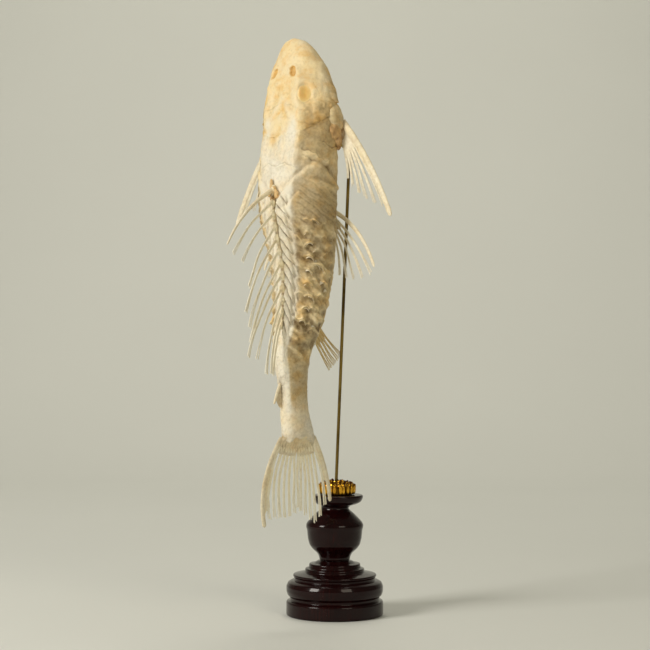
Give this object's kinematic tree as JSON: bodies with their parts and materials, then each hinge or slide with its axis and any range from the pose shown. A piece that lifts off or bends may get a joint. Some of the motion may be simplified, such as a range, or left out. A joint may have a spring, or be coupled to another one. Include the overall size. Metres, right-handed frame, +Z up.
{
  "type": "mounted armored catfish skeleton",
  "caption": "Bleached bony armor of a sailfin suckermouth catfish, head up on a bent brass rod above a gilt rosette and a turned dark hardwood base.",
  "frame": {"origin": "centre of the round base's underside, on the table", "axes": "+Z up, from the base to the fish's snout; the fish's back faces between -X and -Y and its right flank between +X and -Y"},
  "size_m": [0.1288, 0.1323, 0.47],
  "materials": {
    "head_bone": "matte, cream, finely granular dermal bone",
    "body_bone": "matte, bleached near white with tan sutures",
    "fin_bone": "matte to satin, ivory, translucent at the edges",
    "eye_membrane": "satin, dried amber membrane",
    "dried_skin": "matte, leathery dried skin",
    "dark_wood": "gloss lacquer over dark red-brown hardwood",
    "gilt_brass": "polished gilt with dark recesses",
    "rod_brass": "drawn brass, satin, slightly tarnished"
  },
  "bodies": {
    "root": {"head": "head_bone", "mouth_lips": "dried_skin", "shoulder": "body_bone", "trunk": "body_bone", "tail_stalk": "body_bone", "dorsal_fin": "fin_bone", "adipose_fin": "fin_bone", "anal_fin": "fin_bone", "tail_fin": "fin_bone", "eye_left": "eye_membrane", "cheek_left": "head_bone", "girdle_left": "head_bone", "pectoral_fin_left": "fin_bone", "pelvic_fin_left": "fin_bone", "eye_right": "eye_membrane", "cheek_right": "head_bone", "girdle_right": "head_bone", "pectoral_fin_right": "fin_bone", "pelvic_fin_right": "fin_bone", "base_foot": "dark_wood", "base_vase": "dark_wood", "rosette": "gilt_brass", "rod": "rod_brass"}
  },
  "joints": []
}
